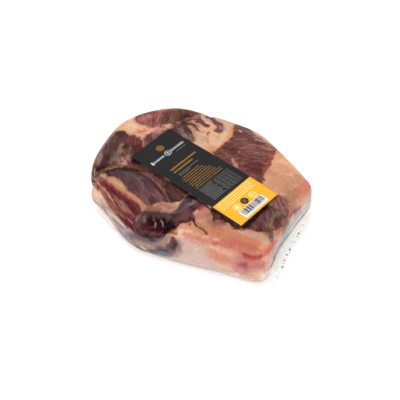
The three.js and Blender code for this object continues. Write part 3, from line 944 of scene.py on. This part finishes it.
def paint_meat(ham, x, y):
    """Writes where lean and fat lie, their colours and the run of the fibres onto the meat."""
    moved = wander(x, y)
    depth, lean, turn, marbling, ragged = lay_lean(x, y, moved)
    fat = np.tile(linear(BASE_FAT), (len(x), 1))
    loose = (x, y) + moved
    blend_patches(*comb(*loose, turn, COMB_REACH), lean, LEAN_PATCHES)
    blend_patches(*loose, fat, FAT_PATCHES)
    loose = (x, y) + LINE_WANDER * moved
    for row in FAT_LINES:
        here = row[3] * (stroke(*loose, row[3], pairs(row[4:])) - 1)
        depth = np.minimum(depth, here)
        fat[here < FAT_LINE_REACH] = linear(row[:3])
    blend_strokes(loose, (lean, fat))
    c, s = np.cos(turn), np.sin(turn)
    add_values(ham, "lean", depth)
    add_values(ham, "lean_tint", *lean.T, np.ones(len(x)))
    add_values(ham, "fat_tint", *fat.T, np.ones(len(x)))
    add_values(ham, "grain", x * c + y * s, y * c - x * s, np.zeros(len(x)))
    add_values(ham, "marbling", marbling)
    add_values(ham, "ragged", ragged)


class Shader:
    """A material's nodes, made by short calls."""

    def __init__(self, name):
        self.material = bpy.data.materials.new(name)
        self.material.use_nodes = True
        self.tree = self.material.node_tree
        self.tree.nodes.clear()

    def feed(self, socket, value):
        if isinstance(value, bpy.types.NodeSocket):
            self.tree.links.new(value, socket)
        else:
            socket.default_value = value

    def add(self, kind, *values, out=0, **named):
        """One output of a new node. The values go into its first inputs, in order. A lower-case name is
        one of its settings. Any other name is an input, with an underscore for each space."""
        made = self.tree.nodes.new("ShaderNode" + kind)
        for name in filter(str.islower, named):
            setattr(made, name, named[name])
        for socket, value in zip(made.inputs, values):
            self.feed(socket, value)
        for name in named:
            if not name.islower():
                self.feed(made.inputs[name.replace("_", " ")], named[name])
        return made.outputs[out]

    def math(self, operation, *values):
        return self.add("Math", *values, operation=operation)

    def times(self, a, b):
        return self.math("MULTIPLY", a, b)

    def plus(self, a, b):
        return self.math("ADD", a, b)

    def attribute(self, name, out="Fac"):
        return self.add("Attribute", out=out, attribute_name=name)

    def noise(self, place, scale, detail=3.0, roughness=0.5, distortion=0.0):
        return self.add("TexNoise", out="Fac", Vector=place, Scale=scale, Detail=detail,
                        Roughness=roughness, Distortion=distortion)

    def run_noise(self, run, scales, *settings):
        """Noise that is stretched along a direction."""
        return self.noise(self.add("VectorMath", run, scales, operation="MULTIPLY"), 1.0, *settings)

    def between(self, value, low, high, to_low=0.0, to_high=1.0):
        return self.add("MapRange", out="Result", interpolation_type="SMOOTHSTEP", Value=value,
                        From_Min=low, From_Max=high, To_Min=to_low, To_Max=to_high)

    def mix(self, share, a, b, blend="MIX"):
        made = self.tree.nodes.new("ShaderNodeMix")
        made.data_type = "RGBA"
        made.blend_type = blend
        self.feed(made.inputs["Factor"], share)
        for socket, value in zip([s for s in made.inputs if s.type == "RGBA"], (a, b)):
            self.feed(socket, value)
        return next(s for s in made.outputs if s.type == "RGBA")

    def tinted(self, share, colour, tint):
        return self.mix(share, colour, tint, "MULTIPLY")

    def brighten(self, colour, gain):
        return self.add("VectorMath", colour, operation="SCALE", Scale=gain)

    def bump(self, height, distance, strength):
        return self.add("Bump", out="Normal", Height=height, Distance=distance, Strength=strength)

    def diffuse(self, shown):
        return self.add("BsdfDiffuse", colour_of(shown))

    def finish(self, shader):
        output = self.tree.nodes.new("ShaderNodeOutputMaterial")
        self.tree.links.new(shader, output.inputs["Surface"])
        return self.material


def lean_colour(s, grain, place, fibre, strand, inside):
    """Lean meat: dark and light fibres, pale veins of fat and a redder rim along its edge."""
    tone = s.times(s.between(fibre, *FIBRE_TONE), s.between(strand, *STRAND_TONE))
    tone = s.times(tone, s.between(s.noise(place, *LEAN_CLOUD), *LEAN_CLOUD_TONE))
    lean = s.brighten(s.attribute("lean_tint", "Color"), tone)
    lean = s.tinted(s.between(strand, *RED_STRANDS), lean, STRAND_TINT)
    lean = s.tinted(s.between(inside, *RED_RIM), lean, RIM_TINT)
    ridge = s.math("ABSOLUTE", s.math("SUBTRACT", s.run_noise(grain, *VEIN), 0.5))
    veins = s.times(s.between(ridge, *VEIN_WIDTH), s.attribute("marbling"))
    veins = s.times(veins, s.between(s.noise(place, *VEIN_BREAK), *VEIN_GAPS))
    return s.mix(s.times(veins, VEIN_STRENGTH), lean, colour_of(VEIN_COLOUR))


def fat_colour(s, place, mottle, fibre, inside):
    """Fat: cream to orange, mottled, with a pink stain beside the lean meat."""
    tone = s.times(s.between(mottle, *MOTTLE_TONE), s.between(fibre, *FAT_FIBRE_TONE))
    fat = s.brighten(s.attribute("fat_tint", "Color"), tone)
    fat = s.tinted(s.between(s.noise(place, *FAT_CLOUD), *ORANGE_CLOUD), fat, CLOUD_TINT)
    return s.tinted(s.between(inside, *STAIN), fat, STAIN_TINT)


def meat_material():
    s = Shader("cured_meat")
    grain = s.attribute("grain", "Vector")
    place = s.add("TexCoord", out="Object")
    fibre = s.run_noise(grain, *FIBRE)
    strand = s.run_noise(grain, *STRAND)
    mottle = s.noise(place, *MOTTLE)
    edge = s.math("SUBTRACT", s.noise(place, *RAGGED), 0.5)
    inside = s.plus(s.attribute("lean"), s.times(edge, s.times(s.attribute("ragged"), EDGE_RAGGED)))
    lean = lean_colour(s, grain, place, fibre, strand, inside)
    fat = fat_colour(s, place, mottle, fibre, inside)
    colour = s.mix(s.between(inside, *LEAN_EDGE), fat, lean)
    height = s.plus(s.times(fibre, FIBRE_HEIGHT), s.times(mottle, MOTTLE_HEIGHT))
    return s.finish(s.add(
        "BsdfPrincipled", Base_Color=s.brighten(colour, MEAT_GAIN), Normal=s.bump(height, *MEAT_BUMP),
        **MEAT_SURFACE))


def film_material():
    """Clear film: light passes straight through, with a weak gloss, and creases are milky."""
    s = Shader("clear_film")
    place = s.add("TexCoord", out="Object")
    normal = s.bump(s.noise(place, *FILM_NOISE), *FILM_BUMP)
    glossy = s.add("BsdfGlossy", Roughness=FILM_ROUGHNESS, Normal=normal)
    gloss = s.times(s.add("Fresnel", IOR=FILM_IOR, Normal=normal), FILM_GLOSS)
    shine = s.add("MixShader", gloss, s.add("BsdfTransparent"), glossy)
    streaks = s.between(s.noise(place, *STREAKS), *STREAK_TONE)
    return s.finish(s.add("MixShader", s.times(streaks, s.attribute("haze")), shine, s.diffuse(MILK)))


def welded_film(name, shown, share, along, across):
    """Film in a band: nearly clear, with lines along it, pleats across it, and painted shade in creases
    and along edges.
    """
    s = Shader(name)
    run = s.attribute("run", "Vector")
    lines = s.between(s.run_noise(run, *WELD_LINES), *WELD_RANGE, along)
    pleats = s.between(s.run_noise(run, *WELD_PLEATS), *WELD_RANGE, across)
    milk = s.plus(s.plus(lines, pleats), share)
    film = s.add("MixShader", milk, s.add("BsdfTransparent"), s.diffuse(shown))
    # Painted shade where the band's dark value is high
    return s.finish(s.add("MixShader", s.attribute("dark"), film, s.diffuse(CREASE_SHADE)))


def build_meat():
    ham, x, y = ham_mesh("ham_meat", MEAT_GRID, MEAT_FURROW_DEPTH, MEAT_INSET)
    paint_meat(ham, x, y)
    ham.data.materials.append(meat_material())
    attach(ham, "root")
    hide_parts("vacuum_bag")


def build_film():
    film, x, y = ham_mesh("film_skin", FILM_GRID, FILM_FURROW_DEPTH, FILM_INSET)
    haze = np.zeros(len(x))
    for row in HAZE:
        reach = oval(x, y, row[1:3], row[3:5], row[5])
        haze = np.maximum(haze, row[0] * (1 - smooth(*HAZE_EDGE, reach)))
    add_values(film, "haze", haze)
    film.data.materials.append(film_material())
    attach(film, "root")


def rim_run(side, low, high):
    """The rim points inside a span of y at one end of the ham, in order, and the ways outward."""
    rim = Rim(RIM_POINTS)
    x, y = rim.xy.T
    picked = np.flatnonzero((x * side > END_ZONE) & (y > low) & (y < high))
    gap = np.flatnonzero(np.diff(picked) > 1)
    if len(gap):
        picked = np.roll(picked, -(gap[0] + 1))
    return rim.xy[picked], rim.out[picked]


def sheet_faces(across, along):
    faces = []
    for i in range(across):
        for j in range(along):
            a = i * (along + 1) + j
            faces.append((a, a + along + 1, a + along + 2, a + 1))
    return faces


def film_band(name, run, steps, height, reach, drop, edge_shape, painted_shade):
    """A band of film that leaves the wall at a height and droops outwards, with painted shade in creases
    and at edges.
    """
    xy, out = run
    points, places, dark = [], [], []
    length = float(np.hypot(*np.diff(xy, axis=0).T).sum())
    for i in range(steps[0] + 1):
        u = i / steps[0]
        for j in range(steps[1] + 1):
            v = j / steps[1]
            place = v * (len(xy) - 1)
            k = min(int(place), len(xy) - 2)
            t = place - k
            edge = xy[k] * (1 - t) + xy[k + 1] * t
            clear = -FILM_ROOT + (FILM_ROOT + reach(v)) * u
            outwards = clear + (edge_shape(j) if i == steps[0] else 0)
            flat = edge + out[k] * outwards
            points.append((flat[0], flat[1], height - drop(u, v)))
            places.append((v * length, outwards, 0.0))
            dark.append(painted_shade(clear / reach(v), v, j))
    band = new_mesh(name, np.array(points) + np.array(FORM_SHIFT), sheet_faces(*steps))
    add_values(band, "run", *np.transpose(places))
    add_values(band, "dark", dark)
    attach(band, "root")
    return band


def line_share(share, middle, half_width):
    """How much a soft line covers, 1 on its middle."""
    return math.exp(-(((share - middle) / half_width) ** 2))


def build_seal():
    """The seal band: u is 0 at its root and 1 at its edge, v is 0 at the near end, j counts steps."""
    def reach(v):
        """Shorter towards the far end."""
        return SEAL_REACH * (1 - 0.9 * float(smooth(0.55, 1, v)))

    def drop(u, v):
        """Less towards the far end, with long and short ripples."""
        down = SEAL_DROP * (1 - 0.35 * v) + 0.8 * math.sin(17 * v)
        return down * u**1.5 + 0.35 * math.sin(61 * v) * u

    def tooth(j):
        return SEAL_TOOTH * (1 - abs(j % 4 - 2) / 2)

    def painted_shade(share, v, j):
        """Painted shade on the shaded teeth, at the root, and in a crease that leaves the root and comes
        and goes.
        """
        edge = SHADED_TEETH.get(j // 4, 0.0) if share > TOOTH_START and j % 4 in (1, 2) else 0.0
        crease = 0.46 * float(smooth(0.08, 0.75, v))
        strength = 0.66 - 0.24 * v + 0.12 * math.sin(19 * v) + 0.06 * math.sin(47 * v)
        return max(edge, strength * line_share(share, crease, 0.07), 0.5 * line_share(share, 0.02, 0.05))

    band = film_band(
        "seal_band", rim_run(1, *SEAL_SPAN), (SEAL_ROWS, 4 * SEAL_TEETH), SEAL_ROOT_HEIGHT,
        reach, drop, tooth, painted_shade)
    band.data.materials.append(welded_film("sealed_film", *SEALED_FILM))


def build_fold():
    """The fold of film, with u and v as in the seal band."""
    def reach(v):
        return 0.1 + FOLD_REACH * math.sin(math.pi * v) ** 0.5

    def drop(u, v):
        return FOLD_DROP * u**1.5 + 0.5 * math.sin(23 * v) * u

    # The fold gets painted shade along its outer edge
    band = film_band(
        "fold_band", rim_run(-1, *FOLD_SPAN), FOLD_GRID, FOLD_ROOT_HEIGHT, reach, drop,
        lambda j: 0.0, lambda share, v, j: 0.3 * line_share(share, 0.96, 0.08))
    band.data.materials.append(welded_film("folded_film", *FOLDED_FILM))


def label_point(along, across, lift):
    """A place on the label in the frame: along it, across it, and above its underside, in mm."""
    u = along / LABEL_LENGTH
    turn = math.radians(LABEL_TURN)
    a, b = along - LABEL_LENGTH / 2, across - LABEL_WIDTH / 2
    x = LABEL_CENTRE[0] + a * math.cos(turn) - b * math.sin(turn)
    y = LABEL_CENTRE[1] + a * math.sin(turn) + b * math.cos(turn)
    z = LABEL_HEIGHT - LABEL_END_DIP * (2 * u - 1) ** 2 + lift
    return x + FORM_SHIFT[0], y + FORM_SHIFT[1], z


def paper_material(name, shown):
    s = Shader(name)
    place = s.add("TexCoord", out="Object")
    speckle = s.noise(place, *SPECKLE)
    cloud = s.between(s.noise(place, *PAPER_CLOUD), *PAPER_CLOUD_TONE)
    tone = s.times(s.plus(s.between(speckle, *SPECKLE_TONE), cloud), PAPER_GAIN)
    return s.finish(s.add(
        "BsdfPrincipled", Base_Color=s.brighten(linear(shown), tone),
        Normal=s.bump(speckle, *PAPER_BUMP), **PAPER_SURFACE))


def sheet_border(columns, rows):
    """The corners round a sheet's edge, in order."""
    step = rows + 1
    last = (columns - 1) * step
    border = [i * step for i in range(columns)] + [last + j for j in range(1, step)]
    border += [i * step + rows for i in reversed(range(columns - 1))]
    return border + list(reversed(range(1, rows)))


def build_label():
    """The label as a closed sheet: charcoal, yellow past the joint, plain paper below and at the edge."""
    left, right = LABEL_COLUMNS
    columns = [LABEL_JOINT * k / left for k in range(left + 1)]
    columns += [LABEL_JOINT + (LABEL_LENGTH - LABEL_JOINT) * k / right for k in range(1, right + 1)]
    points, faces, colours = [], [], []
    for lift in (LABEL_THICKNESS, 0.0):
        for a in columns:
            points += [label_point(a, LABEL_WIDTH * j / LABEL_ROWS, lift) for j in range(LABEL_ROWS + 1)]
    side = len(points) // 2
    for k, face in enumerate(sheet_faces(len(columns) - 1, LABEL_ROWS)):
        faces.append(face)
        faces.append(tuple(side + corner for corner in (face[0], face[3], face[2], face[1])))
        colours += [1 if k // LABEL_ROWS >= left else 0, 2]
    border = sheet_border(len(columns), LABEL_ROWS)
    for a, b in zip(border, border[1:] + border[:1]):
        faces.append((a, side + a, side + b, b))
        colours.append(2)
    label = new_mesh("label_sheet", points, faces)
    for name, shown in (("charcoal_print", CHARCOAL), ("yellow_print", YELLOW), ("paper_core", CORE)):
        label.data.materials.append(paper_material(name, shown))
    label.data.polygons.foreach_set("material_index", colours)
    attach(label, "root")
    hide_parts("label")


class Print:
    """Flat inked shapes on the label, gathered into one mesh. Places are along and across the label."""

    def __init__(self):
        self.points, self.faces, self.inks = [], [], []
        self.rng = random.Random(PRINT_SEED)

    def shape(self, outline, ink):
        start = len(self.points)
        for a, b in outline:
            self.points.append(label_point(a, b, LABEL_THICKNESS + INK_LIFT))
        self.faces.append(tuple(range(start, len(self.points))))
        self.inks.append(INK_ORDER.index(ink))

    def bar(self, a, b, long, wide, ink):
        """A bar that starts at a, b, with its length across the label and its width along it."""
        self.shape([(a, b), (a + wide, b), (a + wide, b + long), (a, b + long)], ink)

    def disc(self, a, b, radius, ink, inner=0.0):
        turns = [2 * math.pi * k / DISC_STEPS for k in range(DISC_STEPS)]
        rim, hole = (
            [(a + r * math.cos(t), b + r * math.sin(t)) for t in turns] for r in (radius, inner))
        if not inner:
            self.shape(rim, ink)
            return
        for k in range(DISC_STEPS):
            j = (k + 1) % DISC_STEPS
            self.shape([hole[k], rim[k], rim[j], hole[j]], ink)

    def words(self, a, start, end, wide, ink, gap=1.0, long=(2.0, 6.0)):
        """A row of bars of mixed length, in place of a line of words."""
        b = start
        while b < end:
            length = min(self.rng.uniform(*long), end - b)
            if length > SHORTEST_WORD:
                self.bar(a, b, length, wide, ink)
            b += length + gap


def print_name_band(p):
    p.disc(14, 28.5, 4.0, "gold", 3.3)
    p.disc(14, 28.5, 1.8, "gold", 1.0)
    p.bar(22.4, 5.2, 1.5, 4.6, "white")
    p.words(23.6, 8.5, 23.6, 2.6, "white", 1.6, (0.7, 1.3))
    p.disc(25, 28.5, 3.6, "white", 3.0)
    p.bar(23.4, 27.9, 1.2, 3.2, "white")
    p.words(23.6, 33.5, 51.5, 2.6, "white", 1.6, (0.7, 1.3))
    p.bar(29.5, 36, 14, 0.35, "grey")


def print_titles(p):
    for a, end in ((44.2, 48), (49.0, 38)):
        p.words(a, 11, end, 1.9, "gold", 1.1, (0.8, 1.5))
    for k in range(2):
        p.words(55 + 2.2 * k, 11.6, 41 - 14 * k, 0.4, "grey", 0.8)
    for k in range(8):
        end = p.rng.uniform(33, 37) + 2.2 * k
        p.words(61 + 2.9 * k, 8.6 + 2 * (k % 3 == 0), end, 0.6, "gold", 1.0, (1.0, 4.0))


def print_table(p):
    for k in range(9):
        p.bar(85.6 + 2.5 * k, 28.8, 21, 0.35, "dull")
    for b in (28.8, 49.8):
        p.bar(85.6, b, 0.35, 20.4, "dull")
    for k in range(8):
        p.words(86.6 + 2.5 * k, 30.3, 46, 0.6, "dull", 3.0, (0.8, 2.2))
    for k in range(9):
        p.words(85 + 2.4 * k, 8.6, p.rng.uniform(25, 28), 1.0, "dull", 0.7, (1.0, 3.6))


def print_yellow_end(p):
    for k in range(4):
        p.words(112.3 + 2.7 * k, 3, 52, 0.8, "pale", 0.9, (1.5, 5.0))
    p.disc(128.3, 39.5, 4.2, "pale", 3.4)
    p.words(126.9, 37.1, 41.9, 2.6, "pale", 0.7, (0.6, 1.2))
    p.disc(127.9, 27.4, 4.3, "black")
    for k in range(3):
        p.bar(125.7 + 1.8 * k, 25.2, 4.4, 0.5, "grey")
    p.disc(128.2, 15.6, 4.0, "pale", 3.1)
    p.disc(128.2, 15.6, 1.7, "white")


def print_bars(p):
    p.bar(133.5, 11.6, 33.2, 10.6, "white")
    b = 13.4
    while b < 42.6:
        wide = p.rng.choice((0.9, 1.4, 2.0))
        p.bar(133.9, b, wide, 7.5, "black")
        b += wide + p.rng.choice((0.5, 0.6, 0.8))
    p.words(142.1, 13.6, 43, 1.1, "grey", 0.9, (0.8, 1.3))


def build_print():
    p = Print()
    for part in (print_name_band, print_titles, print_table, print_yellow_end, print_bars):
        part(p)
    marks = new_mesh("label_print", p.points, p.faces)
    for ink in INK_ORDER:
        marks.data.materials.append(paper_material("ink_" + ink, INKS[ink]))
    marks.data.polygons.foreach_set("material_index", p.inks)
    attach(marks, "root")


def build_floor():
    corners = np.array([(-1, -1, 0), (1, -1, 0), (1, 1, 0), (-1, 1, 0)]) * FLOOR_HALF
    floor = new_mesh("floor", corners / MM, [(0, 1, 2, 3)])
    s = Shader("white_floor")
    floor.data.materials.append(s.finish(s.add("BsdfPrincipled", **FLOOR_SURFACE)))


def place_in_scene(name, data, at, right, up, back):
    """A new lamp or camera at a place, which looks away from back."""
    made = bpy.data.objects.new(name, data)
    bpy.context.scene.collection.objects.link(made)
    made.matrix_world = Matrix.Translation(at) @ Matrix((right, up, back)).transposed().to_4x4()
    return made


def add_area_light(name, at, aim, size, watts):
    data = bpy.data.lights.new(name, "AREA")
    data.shape = "DISK"
    data.size = size
    data.energy = watts
    direction = np.array(aim) - np.array(at)
    forward = direction / np.linalg.norm(direction)
    right = np.cross(forward, (0.0, 0.0, 1.0))
    right /= np.linalg.norm(right)
    place_in_scene(name, data, at, right, np.cross(right, forward), -forward)


def light_scene():
    world = bpy.data.worlds.new("studio")
    world.use_nodes = True
    background = world.node_tree.nodes["Background"]
    background.inputs["Color"].default_value = WHITE
    background.inputs["Strength"].default_value = 1.0
    bpy.context.scene.world = world
    add_area_light("key_light", *KEY_LIGHT)
    add_area_light("fill_light", *FILL_LIGHT)
    bpy.context.scene.view_settings.view_transform = "Standard"


def place_camera():
    azimuth, elevation = math.radians(CAMERA_AZIMUTH), math.radians(CAMERA_ELEVATION)
    back = np.array([
        math.sin(azimuth) * math.cos(elevation), -math.cos(azimuth) * math.cos(elevation),
        math.sin(elevation)])
    at = np.array(CAMERA_AIM) + back * CAMERA_DISTANCE
    right = np.array([math.cos(azimuth), math.sin(azimuth), 0.0])
    data = bpy.data.cameras.new("camera")
    data.lens = CAMERA_LENS
    data.sensor_width = SENSOR
    camera = place_in_scene("camera", data, at * MM, right, np.cross(back, right), back)
    bpy.context.scene.camera = camera


def main():
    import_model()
    build_floor()
    light_scene()
    place_camera()
    build_meat()
    build_film()
    build_seal()
    build_fold()
    build_label()
    build_print()


main()
